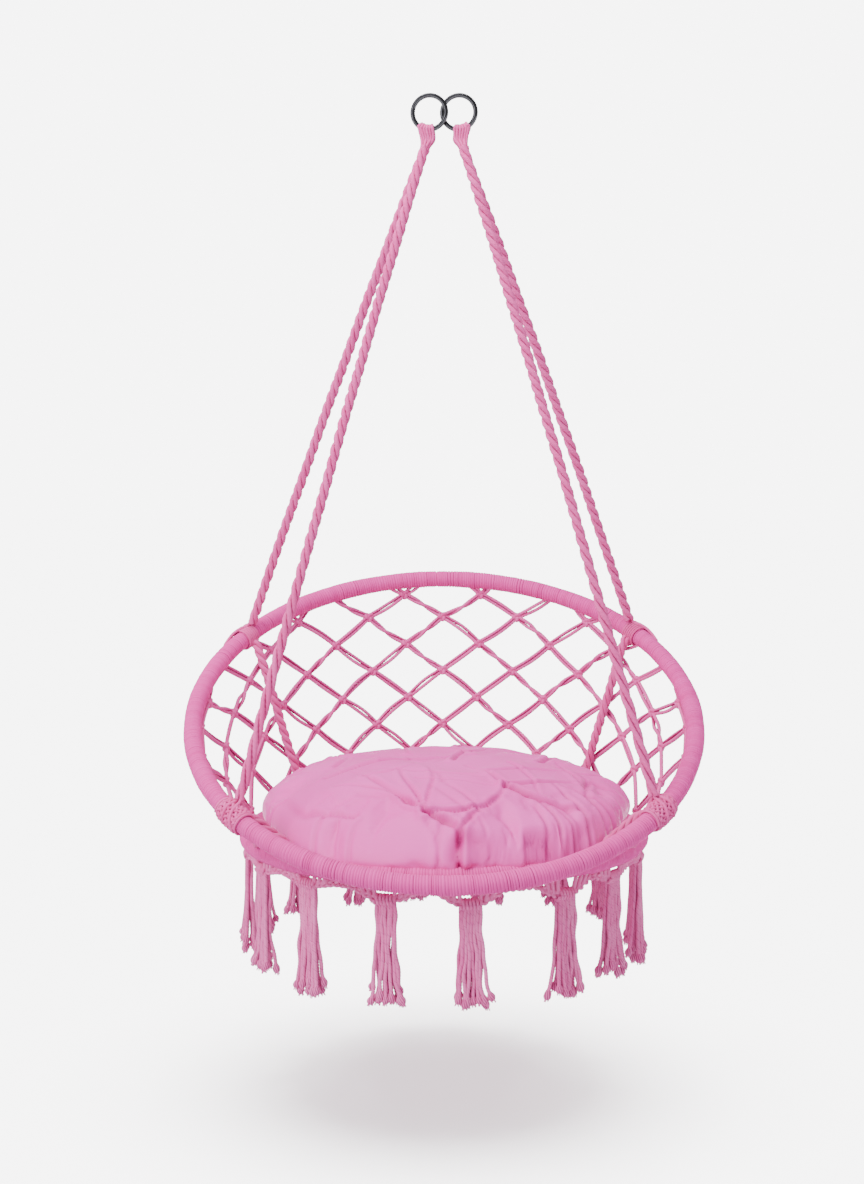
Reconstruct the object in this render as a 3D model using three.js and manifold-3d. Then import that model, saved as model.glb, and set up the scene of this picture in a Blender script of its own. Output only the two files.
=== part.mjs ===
// A macrame hoop chair that hangs from two steel rings.
// Millimetres, +Z up, -Y to the open front of the seat. Left and right in names are as seen from the front,
// so left is -X.
// The origin is the hanging point: the height of the inside top of both steel rings, midway between them.
import * as THREE from "three";
import { mergeVertices } from "three/addons/utils/BufferGeometryUtils.js";
import Module from "manifold-3d";

const wasm = await Module();
wasm.setup();

// ---------------------------------------------------------------- driving dimensions
const GAP = 0.3; // left between pieces that touch

const RING_INNER = 22.4; // steel hanging rings
const RING_WIRE = 3.1;
const RING_SPACING = 44.8;
const RING_TURN = -8.5; // degrees that each ring is turned about the vertical, so that they pass each other
const RING_SIDES = 8;
const RING_STEPS = 20;

const HOOP_DROP = 937; // hanging point to the middle of the upper hoop
const CHAIR_FORWARD = 9.2; // brings the chair's centre of gravity under the rings
const HOOP_RADIUS = 385; // to the middle of its tube
const HOOP_TILT = 29.3; // degrees, rear edge high
const HOOP_STEPS = 40;

const SEAT_DROP = 187; // upper hoop's middle to the seat ring
const SEAT_BACK = 10; // how far the seat ring sits behind the hoop's middle
const SEAT_RADIUS = 302;
const SEAT_STEPS = 32;

const TUBE_OUTER = 9.5; // steel tube inside the cord wrapping
const TUBE_INNER = 8;
const WRAP_INNER = 10.6;
const WRAP_OUTER = 14.3;
const WRAP_ARCS = 4;

const ROPE_RADIUS = 6.8;
const ROPE_SPREAD = 7.2; // front and rear rope of one side, either way of the ring's plane
const ROPE_STEPS = 16;
const SUPPORT_INSET = 16; // from the net wall to the middle of a support rope
const SUPPORT_CLEARANCE = 2; // between a support rope's end and the hitch above it
const ROPE_BOW = 9; // how far a hanging rope's middle stands out from its chord

const LOOP_ANGLE = 11; // degrees that a rope loop sits outwards of the ring's lowest point
const LOOP_HALF_ARC = 24;
const LOOP_BORE = 5.6; // roomy, so that the loop can turn on the wire
const LOOP_OUTER = 9;
const LOOP_LENGTH = 28;
const LOOP_LEAN = 2; // how far a loop's legs lean outwards
const LEG_INSET = 3; // from the wire's middle plane to where each leg starts, inside the loop's saddle

// Degrees round the hoop from +X, the left side's first.
const FRONT_HITCH = [219, 322.5];
const REAR_HITCH = [147, 35];
const FRONT_FOOT = [222.5, 319]; // where the cords from the hitches reach the seat ring
const REAR_FOOT = [142, 40];
const HITCH_HALF_ARC = 4;
const HITCH_INNER = 16.6;
const HITCH_OUTER = 19;
const HITCH_REACH = 24; // from the hoop's middle to a rope's end

const COLUMN_COUNT = 36; // columns of net knots round the wall
const COLUMN_STEP = 360 / COLUMN_COUNT;
const COLUMNS_PER_PANEL = 3;
const KNOT_TOP = 124; // highest knot of an even column, above the middle of the hoop
const KNOT_PITCH = 92.5; // from one knot to the next in the same column
const KNOT_RADIUS = 8.5;
const STRAND_RADIUS = 3.4;
const STRAND_SIDES = 4;

const SPOKE_COUNT = 12;
const SEAT_NET_ROUNDS = [0.38, 0.69]; // shares of the seat net's reach
const SEAT_DISC_RADIUS = 24; // woven disc in the middle of the seat net
const SEAT_NET_RIM = 8; // how far the seat net's rim lies below the seat ring's middle
const SEAT_NET_SAG = 10; // how far the seat net's middle lies below its rim
const SEAT_NET_RADIUS = 3.2;

const CUSHION_RADIUS = 284;
const CUSHION_SIDES = 28;

const TASSEL_COUNT = 16;
const TASSEL_FIRST = 276.5; // degrees round the seat ring
const TASSEL_LENGTH = 154;
const TASSEL_TOP_RADIUS = 11;
const TASSEL_END_RADIUS = 21;
const TASSEL_SIDES = 8;
// Degrees that each hand-tied tassel strays from even spacing.
const TASSEL_STRAY = [0, 5, 2, 2.5, -1, 1.5, -2, 0, 2, -2, 1, 0, 2.5, -1, -1.5, 0];
const SWAG_RADIUS = 3;
const SWAG_STEPS = 32;
const SWAG_DEPTH = 17; // how far the cords between the tassels hang below the seat ring

// ---------------------------------------------------------------- materials
function material(name, color, roughness, metalness) {
  return new THREE.MeshStandardMaterial({ name, color, roughness, metalness });
}

function cordMaterial(name) {
  return material(name, 0xe48fbd, 0.9, 0);
}

function ringMaterial() {
  return material("ring_steel", 0x35373a, 0.25, 1);
}

function tubeMaterial() {
  return material("hoop_steel", 0xb9bbbe, 0.45, 1);
}

function cushionMaterial() {
  return material("cushion_fabric", 0xe69fc8, 0.7, 0);
}

// ---------------------------------------------------------------- solids
function solidOf(geometry) {
  const bare = geometry.index ? geometry.toNonIndexed() : geometry.clone();
  bare.deleteAttribute("normal");
  bare.deleteAttribute("uv");
  const merged = mergeVertices(bare, 1e-3);
  return new wasm.Manifold(
    new wasm.Mesh({
      numProp: 3,
      vertProperties: merged.attributes.position.array,
      triVerts: new Uint32Array(merged.index.array),
    }),
  );
}

function geometryOf(solid) {
  const mesh = solid.getMesh();
  const geometry = new THREE.BufferGeometry();
  geometry.setAttribute("position", new THREE.BufferAttribute(new Float32Array(mesh.vertProperties), 3));
  geometry.setIndex(new THREE.BufferAttribute(new Uint32Array(mesh.triVerts), 1));
  return geometry;
}

function joined(geometries) {
  return geometries.map(solidOf).reduce((sum, next) => sum.add(next));
}

function polygon(radius, sides) {
  const corners = [];
  for (let i = 0; i < sides; i += 1) {
    const angle = (2 * Math.PI * (i + 0.5)) / sides;
    corners.push(new THREE.Vector2(radius * Math.cos(angle), radius * Math.sin(angle)));
  }
  return corners;
}

function rod(path, steps, radius, sides) {
  const section = new THREE.Shape(polygon(radius, sides));
  return new THREE.ExtrudeGeometry(section, { steps, extrudePath: path, bevelEnabled: false });
}

function pipe(path, steps, outer, outerSides, inner, innerSides) {
  const section = new THREE.Shape(polygon(outer, outerSides));
  section.holes.push(new THREE.Path(polygon(inner, innerSides)));
  return new THREE.ExtrudeGeometry(section, { steps, extrudePath: path, bevelEnabled: false });
}

function straightRod(from, to, radius, sides) {
  return rod(new THREE.LineCurve3(from, to), 1, radius, sides);
}

function mesh(name, geometry, finish) {
  const made = new THREE.Mesh(geometry, finish);
  made.name = name;
  return made;
}

const radians = THREE.MathUtils.degToRad;

// An arc of a circle about Z, from one angle to another in degrees.
class RoundArc extends THREE.Curve {
  constructor(radius, from, to) {
    super();
    this.radius = radius;
    this.from = radians(from);
    this.to = radians(to);
  }

  getPoint(t, target = new THREE.Vector3()) {
    const angle = this.from + (this.to - this.from) * t;
    return target.set(this.radius * Math.cos(angle), this.radius * Math.sin(angle), 0);
  }
}

// ---------------------------------------------------------------- places on the two hoops
const HOOP_MIDDLE = new THREE.Vector3(0, -CHAIR_FORWARD, -HOOP_DROP);
const SEAT_MIDDLE = new THREE.Vector3(0, SEAT_BACK - CHAIR_FORWARD, -HOOP_DROP - SEAT_DROP);

function onHoop(angle) {
  const across = HOOP_RADIUS * Math.sin(radians(angle));
  return new THREE.Vector3(
    HOOP_RADIUS * Math.cos(radians(angle)),
    across * Math.cos(radians(HOOP_TILT)),
    across * Math.sin(radians(HOOP_TILT)),
  ).add(HOOP_MIDDLE);
}

function onSeatRing(angle) {
  return new THREE.Vector3(
    SEAT_RADIUS * Math.cos(radians(angle)),
    SEAT_RADIUS * Math.sin(radians(angle)),
    0,
  ).add(SEAT_MIDDLE);
}

// The point at a distance from one point towards another.
function towards(from, to, distance) {
  return to.clone().sub(from).setLength(distance).add(from);
}

// ---------------------------------------------------------------- hanging rings and rope loops
const RING_MEAN = RING_INNER + RING_WIRE;

function ringGroup(side) {
  const group = new THREE.Group();
  group.position.set((side * RING_SPACING) / 2, 0, -RING_INNER);
  group.rotation.set(Math.PI / 2, 0, 0);
  group.rotation.order = "ZXY";
  group.rotation.z = radians(RING_TURN);
  return group;
}

function hangingRing(name, side) {
  const group = ringGroup(side);
  const torus = new THREE.TorusGeometry(RING_MEAN, RING_WIRE, RING_SIDES, RING_STEPS);
  group.add(mesh(name, torus, ringMaterial()));
  return group;
}

// Where the wire's middle runs through the rope loop.
function loopPoint(side) {
  const group = ringGroup(side);
  group.updateMatrixWorld(true);
  const angle = radians(-90 + side * LOOP_ANGLE);
  const local = new THREE.Vector3(RING_MEAN * Math.cos(angle), RING_MEAN * Math.sin(angle), 0);
  return local.applyMatrix4(group.matrixWorld);
}

function loopLegEnd(side, depth) {
  return loopPoint(side).add(new THREE.Vector3(side * LOOP_LEAN, depth * ROPE_SPREAD, -LOOP_LENGTH));
}

function ropeLoop(name, side) {
  const group = ringGroup(side);
  group.updateMatrixWorld(true);
  const middle = -90 + side * LOOP_ANGLE;
  const saddlePath = new RoundArc(RING_MEAN, middle - LOOP_HALF_ARC, middle + LOOP_HALF_ARC);
  const borePath = new RoundArc(RING_MEAN, middle - 2 * LOOP_HALF_ARC, middle + 2 * LOOP_HALF_ARC);
  const saddle = rod(saddlePath, 5, LOOP_OUTER, 10).applyMatrix4(group.matrixWorld);
  const bore = rod(borePath, 10, LOOP_BORE, 8).applyMatrix4(group.matrixWorld);
  const legs = [true, false].map((front) => {
    const depth = front ? -1 : 1;
    const top = loopPoint(side).add(new THREE.Vector3(0, depth * LEG_INSET, -RING_WIRE));
    const end = loopLegEnd(side, depth);
    // Each leg bends into its rope's direction, so that the two meet face to face.
    const bend = end.clone().addScaledVector(suspensionPath(side, front).getTangent(0), -LOOP_LENGTH / 2);
    return rod(new THREE.QuadraticBezierCurve3(top, bend, end), 4, ROPE_RADIUS, 8);
  });
  const body = joined([saddle, ...legs]).subtract(solidOf(bore));
  return mesh(name, geometryOf(body), cordMaterial("rope"));
}

// ---------------------------------------------------------------- ropes
function hitchAngles(front) {
  return front ? FRONT_HITCH : REAR_HITCH;
}

// A suspension rope runs from a leg of its loop to the hoop, bowed a little outwards by its own twist.
function suspensionPath(side, front) {
  const angle = hitchAngles(front)[side < 0 ? 0 : 1];
  const legTop = loopLegEnd(side, front ? -1 : 1);
  const hitch = onHoop(angle);
  const start = towards(legTop, hitch, GAP);
  const end = towards(hitch, legTop, HITCH_REACH);
  const middle = start.clone().lerp(end, 0.5);
  middle.x += side * ROPE_BOW;
  return new THREE.QuadraticBezierCurve3(start, middle, end);
}

function suspensionRope(name, side, front) {
  return mesh(name, rod(suspensionPath(side, front), ROPE_STEPS, ROPE_RADIUS, 8), cordMaterial("rope"));
}

// Just inside the net wall a rope runs on from each hitch to the seat ring, and carries it.
function supportRope(name, hoopAngle, seatAngle) {
  const top = onHoop(hoopAngle);
  const bottom = onSeatRing(seatAngle);
  const down = bottom.clone().sub(top).normalize();
  const around = new THREE.Vector3(-Math.sin(radians(seatAngle)), Math.cos(radians(seatAngle)), 0);
  const inset = around.cross(down).setLength(SUPPORT_INSET);
  const start = top.addScaledVector(down, HITCH_OUTER + ROPE_RADIUS + SUPPORT_CLEARANCE).add(inset);
  const end = bottom.addScaledVector(down, -WRAP_OUTER - ROPE_RADIUS).add(inset);
  return mesh(name, straightRod(start, end, ROPE_RADIUS, 8), cordMaterial("rope"));
}

function hitch(name, angle) {
  const path = new RoundArc(HOOP_RADIUS, angle - HITCH_HALF_ARC, angle + HITCH_HALF_ARC);
  return mesh(name, pipe(path, 3, HITCH_OUTER, 10, HITCH_INNER, 10), cordMaterial("rope"));
}

// ---------------------------------------------------------------- wrapped hoops
// A steel tube bent round to a butt joint, inside four arcs of cord wrapping.
function wrappedHoop(label, radius, steps) {
  const group = new THREE.Group();
  const joint = THREE.MathUtils.radToDeg(GAP / radius);
  const tubePath = new RoundArc(radius, joint, 360 - joint);
  const tube = pipe(tubePath, steps, TUBE_OUTER, 8, TUBE_INNER, 6);
  group.add(mesh(`${label}_tube`, tube, tubeMaterial()));
  const span = 360 / WRAP_ARCS;
  for (let i = 0; i < WRAP_ARCS; i += 1) {
    const path = new RoundArc(radius, i * span + joint / 2, (i + 1) * span - joint / 2);
    const wrap = pipe(path, steps / WRAP_ARCS, WRAP_OUTER, 8, WRAP_INNER, 8);
    group.add(mesh(`${label}_wrap_${i + 1}`, wrap, cordMaterial("wrap_cord")));
  }
  return group;
}

function upperHoop() {
  const group = wrappedHoop("upper_hoop", HOOP_RADIUS, HOOP_STEPS);
  group.add(hitch("front_hitch_left", FRONT_HITCH[0]));
  group.add(hitch("front_hitch_right", FRONT_HITCH[1]));
  group.add(hitch("rear_hitch_left", REAR_HITCH[0]));
  group.add(hitch("rear_hitch_right", REAR_HITCH[1]));
  group.position.copy(HOOP_MIDDLE);
  group.rotation.x = radians(HOOP_TILT);
  return group;
}

function seatRing() {
  const group = wrappedHoop("seat_ring", SEAT_RADIUS, SEAT_STEPS);
  group.position.copy(SEAT_MIDDLE);
  return group;
}

// ---------------------------------------------------------------- net wall
// The wall is ruled from the hoop down to the seat ring; a height picks a point on a column.
function onWall(angle, height) {
  const top = onHoop(angle);
  const bottom = onSeatRing(angle);
  const share = (top.z - height) / (top.z - bottom.z);
  return top.lerp(bottom, share);
}

// The distance from a point to the middle of a hoop's tube.
function distanceTo(hoopMiddle, radius, tilt, point) {
  const local = point.clone().sub(hoopMiddle).applyAxisAngle(new THREE.Vector3(1, 0, 0), -radians(tilt));
  return Math.hypot(Math.hypot(local.x, local.y) - radius, local.z);
}

function distanceToHoop(point) {
  return distanceTo(HOOP_MIDDLE, HOOP_RADIUS, HOOP_TILT, point);
}

function distanceToSeatRing(point) {
  return distanceTo(SEAT_MIDDLE, SEAT_RADIUS, 0, point);
}

// The hoop's outer radius: its wrapping, or the hitch that is tied over it.
function coverRadius(angle) {
  const turn = THREE.MathUtils.euclideanModulo(angle, 360);
  const isNear = (hitchAngle) => Math.abs(hitchAngle - turn) < 2 * HITCH_HALF_ARC;
  return [...FRONT_HITCH, ...REAR_HITCH].some(isNear) ? HITCH_OUTER : WRAP_OUTER;
}

function columnAngle(column) {
  return 90 + COLUMN_STEP * column;
}

function isEven(column) {
  return Math.abs(column) % 2 === 0;
}

// The knots in one column, highest first. Each has a level of the regular net and a place. Where the hoop is
// in its way, a knot is tied lower than its level.
function knotsInColumn(column) {
  const angle = columnAngle(column);
  const room = KNOT_RADIUS + GAP;
  const knots = [];
  let level = KNOT_TOP + (isEven(column) ? 0 : KNOT_PITCH / 2) - HOOP_DROP;
  while (level > SEAT_MIDDLE.z) {
    if (level < onHoop(angle).z) {
      let height = level;
      while (distanceToHoop(onWall(angle, height)) < coverRadius(angle) + room) height -= 1;
      const place = onWall(angle, height);
      const isFree = distanceToSeatRing(place) > WRAP_OUTER + 3 * room && height > SEAT_MIDDLE.z;
      if (isFree) knots.push({ level, place });
    }
    level -= KNOT_PITCH;
  }
  return knots;
}

// The knots tied against the hoop and against the seat ring, half way across where the two are close.
function tiedKnot(from, to, cover) {
  const distance = Math.min(cover + KNOT_RADIUS + 2 * GAP, from.distanceTo(to) / 2);
  return towards(from, to, distance);
}

function hoopHitch(angle) {
  return tiedKnot(onHoop(angle), onSeatRing(angle), coverRadius(angle));
}

function seatHitch(angle) {
  return tiedKnot(onSeatRing(angle), onHoop(angle), WRAP_OUTER);
}

// A knot's radius, less where it is squeezed between the two hoops.
function knotRadius(place, angle) {
  const room = Math.min(distanceToHoop(place) - coverRadius(angle), distanceToSeatRing(place) - WRAP_OUTER);
  return Math.min(KNOT_RADIUS, room - GAP);
}

// A strand from a knot to the hoop stops at the wrapping's surface.
function strandEndAtHoop(knot, angle) {
  const stop = coverRadius(angle) + STRAND_RADIUS + GAP;
  return knot.clone().lerp(onHoop(angle), Math.max(0.05, 1 - stop / distanceToHoop(knot)));
}

// The strands that one column's knots send up and down to its neighbours. Each says in which column it ends.
function strandsOf(column) {
  const angle = columnAngle(column);
  const half = KNOT_PITCH / 2;
  const strands = [];
  const add = (from, to, end) => strands.push({ from, to, end });
  [-1, 1].forEach((side) => {
    const neighbour = column + side;
    const neighbourAngle = columnAngle(neighbour);
    const neighbours = knotsInColumn(neighbour);
    const knotAt = (level) => neighbours.find((knot) => Math.abs(knot.level - level) < 1);
    knotsInColumn(column).forEach(({ level, place }) => {
      const above = knotAt(level + half);
      const below = knotAt(level - half);
      if (above && side > 0) add(place, above.place, neighbour);
      if (below && side > 0) add(place, below.place, neighbour);
      if (!above) {
        const reach = Math.min(1, (onHoop(angle).z - place.z) / half);
        add(place, strandEndAtHoop(place, angle + side * COLUMN_STEP * reach), column);
      }
      if (!below) add(place, seatHitch(neighbourAngle), neighbour);
    });
    // Towards the front the wall is too low for knots, and the cord zigzags between the two hoops.
    if (isEven(column) && !neighbours.length) {
      add(seatHitch(angle), hoopHitch(neighbourAngle), neighbour);
    }
  });
  return strands;
}

function knotsOf(column) {
  const angle = columnAngle(column);
  const knots = knotsInColumn(column).map((knot) => knot.place);
  if (isEven(column)) knots.push(seatHitch(angle));
  if (!isEven(column) && !knots.length) knots.push(hoopHitch(angle));
  return knots;
}

function netPanel(index) {
  const first = index * COLUMNS_PER_PANEL;
  const last = first + COLUMNS_PER_PANEL - 1;
  const pieces = [];
  for (let column = first; column <= last; column += 1) {
    knotsOf(column).forEach((place) => {
      const knot = new THREE.OctahedronGeometry(knotRadius(place, columnAngle(column)));
      knot.translate(place.x, place.y, place.z);
      pieces.push(knot);
    });
    strandsOf(column).forEach(({ from, to, end }) => {
      // A strand that leaves the panel stops just short of the next panel's knot.
      const leaves = end < first || end > last;
      const stop = leaves ? towards(to, from, KNOT_RADIUS + GAP) : to;
      pieces.push(straightRod(from, stop, STRAND_RADIUS, STRAND_SIDES));
    });
  }
  const name = `net_panel_${String(index + 1).padStart(2, "0")}`;
  return mesh(name, geometryOf(joined(pieces)), cordMaterial("net_cord"));
}

// ---------------------------------------------------------------- seat net
// Spokes sag from the seat ring to a woven disc, with two rounds of cord between.
function seatNet() {
  const reach = SEAT_RADIUS - WRAP_OUTER - SEAT_NET_RADIUS - 1;
  const hub = SEAT_DISC_RADIUS * 0.6;
  const rounds = SEAT_NET_ROUNDS.map((share) => share * reach);
  const stations = [hub, ...rounds, reach];
  const sagAt = (radius) => -SEAT_NET_RIM - SEAT_NET_SAG * (1 - (radius / reach) ** 2);
  const at = (radius, angle) => {
    return new THREE.Vector3(radius * Math.cos(angle), radius * Math.sin(angle), sagAt(radius));
  };
  const cord = (from, to) => straightRod(from, to, SEAT_NET_RADIUS, 4);
  const thickness = 2 * SEAT_NET_RADIUS;
  const disc = new THREE.CylinderGeometry(SEAT_DISC_RADIUS, SEAT_DISC_RADIUS, thickness, SPOKE_COUNT);
  disc.rotateX(Math.PI / 2);
  disc.translate(0, 0, sagAt(hub));
  const pieces = [disc];
  for (let i = 0; i < SPOKE_COUNT; i += 1) {
    const angle = (2 * Math.PI * i) / SPOKE_COUNT;
    const nextAngle = (2 * Math.PI * (i + 1)) / SPOKE_COUNT;
    for (let j = 0; j + 1 < stations.length; j += 1) {
      pieces.push(cord(at(stations[j], angle), at(stations[j + 1], angle)));
    }
    rounds.forEach((radius) => pieces.push(cord(at(radius, angle), at(radius, nextAngle))));
  }
  const made = mesh("seat_net", geometryOf(joined(pieces)), cordMaterial("net_cord"));
  made.position.copy(SEAT_MIDDLE);
  return made;
}

// ---------------------------------------------------------------- cushion
// Radius as a share of the full one, then height above the seat ring's middle.
const CUSHION_PROFILE = [
  [0, -3.5],
  [0.8, -3.5],
  [0.9, 3],
  [0.965, 14],
  [1, 36],
  [0.955, 62],
  [0.8, 88],
  [0.5, 108],
  [0.2, 116],
  [0, 117],
];

function cushion() {
  const profile = CUSHION_PROFILE.map(([share, height]) => new THREE.Vector2(share * CUSHION_RADIUS, height));
  const geometry = new THREE.LatheGeometry(profile, CUSHION_SIDES);
  geometry.rotateX(Math.PI / 2);
  const made = mesh("cushion", geometry, cushionMaterial());
  made.position.copy(SEAT_MIDDLE);
  return made;
}

// ---------------------------------------------------------------- fringe
function tasselAngle(index) {
  return TASSEL_FIRST + (360 * index) / TASSEL_COUNT + TASSEL_STRAY[index];
}

function tassel(index) {
  const top = -SWAG_DEPTH - SWAG_RADIUS - GAP;
  const profile = [
    [0, top - TASSEL_LENGTH],
    [TASSEL_END_RADIUS * 0.8, top - TASSEL_LENGTH],
    [TASSEL_END_RADIUS, top - TASSEL_LENGTH * 0.93],
    [TASSEL_END_RADIUS * 0.78, top - TASSEL_LENGTH * 0.45],
    [TASSEL_TOP_RADIUS, top - 16],
    [TASSEL_TOP_RADIUS * 0.8, top],
    [0, top],
  ].map(([radius, height]) => new THREE.Vector2(radius, height));
  const geometry = new THREE.LatheGeometry(profile, TASSEL_SIDES);
  geometry.rotateX(Math.PI / 2);
  const name = `fringe_tassel_${String(index + 1).padStart(2, "0")}`;
  const made = mesh(name, geometry, cordMaterial("fringe_cord"));
  made.position.copy(onSeatRing(tasselAngle(index)));
  made.position.z -= WRAP_OUTER + GAP;
  return made;
}

// A cord runs from tassel to tassel: low at each head, and up under the ring's wrapping between them.
function fringeSwag(index, name) {
  const perSwag = TASSEL_COUNT / 4;
  const highest = WRAP_OUTER + GAP + SWAG_RADIUS + GAP;
  const lowest = WRAP_OUTER + GAP + SWAG_DEPTH;
  const at = (angle, drop) => onSeatRing(angle).add(new THREE.Vector3(0, 0, -drop));
  const cut = THREE.MathUtils.radToDeg((SWAG_RADIUS + GAP) / SEAT_RADIUS);
  const places = [];
  for (let i = 0; i < perSwag; i += 1) {
    const here = index * perSwag + i;
    const before = (here + TASSEL_COUNT - 1) % TASSEL_COUNT;
    const turn = here === 0 ? 360 : 0;
    const angle = tasselAngle(here);
    const between = (angle + tasselAngle(before) - turn) / 2;
    places.push(at(i === 0 ? between + cut : between, highest));
    places.push(at(angle, lowest));
  }
  const lastTassel = index * perSwag + perSwag - 1;
  const after = (lastTassel + 1) % TASSEL_COUNT;
  const closing = (tasselAngle(lastTassel) + tasselAngle(after) + (after === 0 ? 360 : 0)) / 2;
  places.push(at(closing - cut, highest));
  const path = new THREE.CatmullRomCurve3(places, false, "catmullrom", 0.3);
  return mesh(name, rod(path, SWAG_STEPS, SWAG_RADIUS, 5), cordMaterial("fringe_cord"));
}

// ---------------------------------------------------------------- assembly
const chair = new THREE.Group();
chair.add(hangingRing("hanging_ring_left", -1));
chair.add(hangingRing("hanging_ring_right", 1));
chair.add(ropeLoop("rope_loop_left", -1));
chair.add(ropeLoop("rope_loop_right", 1));
chair.add(suspensionRope("front_rope_left", -1, true));
chair.add(suspensionRope("front_rope_right", 1, true));
chair.add(suspensionRope("rear_rope_left", -1, false));
chair.add(suspensionRope("rear_rope_right", 1, false));
chair.add(upperHoop());
chair.add(seatRing());
chair.add(supportRope("rear_support_left", REAR_HITCH[0], REAR_FOOT[0]));
chair.add(supportRope("rear_support_right", REAR_HITCH[1], REAR_FOOT[1]));
chair.add(supportRope("front_tie_left", FRONT_HITCH[0], FRONT_FOOT[0]));
chair.add(supportRope("front_tie_right", FRONT_HITCH[1], FRONT_FOOT[1]));
for (let i = 0; i < COLUMN_COUNT / COLUMNS_PER_PANEL; i += 1) chair.add(netPanel(i));
chair.add(seatNet());
chair.add(cushion());
for (let i = 0; i < TASSEL_COUNT; i += 1) chair.add(tassel(i));
["front", "right", "rear", "left"].forEach((side, i) => chair.add(fringeSwag(i, `fringe_swag_${side}`)));

export default chair;
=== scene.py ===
# A macrame hoop chair hanging from two steel rings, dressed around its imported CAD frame.
# Metres, in the CAD model's own frame: +Z up, -Y to the open front. Left is -X.
from math import cos, degrees, hypot, pi, radians, sin, sqrt, tau

import bpy
import numpy as np
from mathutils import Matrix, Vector
from numpy.linalg import norm


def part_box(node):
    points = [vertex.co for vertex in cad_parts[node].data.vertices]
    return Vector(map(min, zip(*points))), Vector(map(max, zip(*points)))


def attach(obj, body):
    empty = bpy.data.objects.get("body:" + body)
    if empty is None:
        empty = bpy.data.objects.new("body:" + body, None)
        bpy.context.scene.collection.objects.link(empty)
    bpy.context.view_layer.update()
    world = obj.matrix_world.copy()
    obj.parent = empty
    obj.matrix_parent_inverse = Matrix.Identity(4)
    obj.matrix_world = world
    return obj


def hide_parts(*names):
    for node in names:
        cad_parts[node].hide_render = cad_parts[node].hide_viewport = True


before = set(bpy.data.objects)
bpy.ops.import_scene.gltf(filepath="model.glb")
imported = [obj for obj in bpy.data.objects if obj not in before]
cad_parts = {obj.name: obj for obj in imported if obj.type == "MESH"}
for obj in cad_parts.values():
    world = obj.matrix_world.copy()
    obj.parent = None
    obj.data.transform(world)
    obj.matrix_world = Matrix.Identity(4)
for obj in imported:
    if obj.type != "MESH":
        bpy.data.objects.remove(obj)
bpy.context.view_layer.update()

scene = bpy.context.scene
random = np.random.default_rng(7)
uniform = random.uniform

# ---- sizes, as in the CAD model
GAP = 0.0003
RING_INNER = 0.0224
RING_WIRE = 0.0031
RING_MEAN = RING_INNER + RING_WIRE
RING_SPACING = 0.0448
RING_TURN = radians(-8.5)
LOOP_ANGLE = 11
LOOP_LENGTH = 0.028
LOOP_LEAN = 0.002
ROPE_RADIUS = 0.0068
ROPE_SPREAD = 0.0072
ROPE_BOW = 0.009
HITCH_REACH = 0.024
HOOP_RADIUS = 0.385
HOOP_TILT = radians(29.3)
SEAT_RADIUS = 0.302
WRAP_RADIUS = 0.0143
HITCH_RADIUS = 0.019
FRONT_HITCH = {-1: 219, 1: 322.5}
REAR_HITCH = {-1: 147, 1: 35}
FRONT_FOOT = {-1: 222.5, 1: 319}
REAR_FOOT = {-1: 142, 1: 40}
SUPPORT_INSET = 0.016
SUPPORT_CLEARANCE = 0.002
COLUMN_COUNT = 36
COLUMNS_PER_PANEL = 3
KNOT_TOP = 0.124
KNOT_PITCH = 0.0925
KNOT_RADIUS = 0.0085
TASSEL_COUNT = 16
TASSEL_FIRST = 276.5
TASSEL_STRAY = [0, 5, 2, 2.5, -1, 1.5, -2, 0, 2, -2, 1, 0, 2.5, -1, -1.5, 0]  # degrees from even spacing
TASSEL_LENGTH = 0.154
SWAG_DEPTH = 0.017
SIDE_NAMES = {-1: "left", 1: "right"}

# ---- sizes that only the looks need
# A cord's or a strand's size is its radius.
STRAND = 0.0043
SUPPORT_STRAND = 0.0041
ROPE_LAY = 0.057
RING_SWELL = 0.0006
LOOP_CORD = 0.0023
LASHING_CORD = 0.0021
FRONT_HITCH_CORD = 0.0026
REAR_HITCH_CORD = 0.0025
NET_CORD = 0.0032
SEAT_NET_CORD = 0.0020
WRAP_PITCH = 0.004
WRAP_GROOVE = 0.0019
FRINGE_CORD = 0.0032
CORDS_PER_TASSEL = 14
TASSEL_HALF_WIDTH = 0.0125
SWAG_CORD = 0.0028
# How much shorter each tassel was cut than the longest.
TASSEL_TRIM = [
    0, 0, 0.010, 0.002, 0, 0.004, 0.008, 0.002, 0.006, 0.003, 0.009, 0.004, 0.016, 0.010, 0, 0.004,
]
# How much further than usual each tassel's swag hangs.
SWAG_HANG = [
    0.007, 0.005, -0.003, -0.006, 0, 0.002, 0, -0.002, 0, 0.002, 0, -0.001, -0.006, -0.004, -0.005, 0.003,
]

# ---- the studio
FLOOR = -1.52
FLOOR_ALBEDO = 0.92
AMBIENT = 1.25  # the world's strength as a light
BACKDROP = 7.0  # the world's strength as the camera sees it
# Name, watts, place and size.
AREA_LIGHTS = (("key", 78, (-1.8, -1.8, 0.6), 1.3), ("overhead", 40, (-0.4, -0.3, 1.2), 1.2))
CAMERA_LENS = 50.9
CAMERA_OFFSET = (-0.0183, -2.567, 0.356)  # X in the model, Y and Z from the hoop's middle
CAMERA_DIP = 3.75


def middle_of(node):
    low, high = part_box(node)
    return (np.array(low) + np.array(high)) / 2


HOOP_MIDDLE = middle_of("upper_hoop_tube")
SEAT_MIDDLE = middle_of("seat_ring_tube")
HOOP = (HOOP_MIDDLE, HOOP_RADIUS, HOOP_TILT)
SEAT_RING = (SEAT_MIDDLE, SEAT_RADIUS, 0.0)


def unit(v):
    return v / norm(v, axis=-1, keepdims=True)


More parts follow.
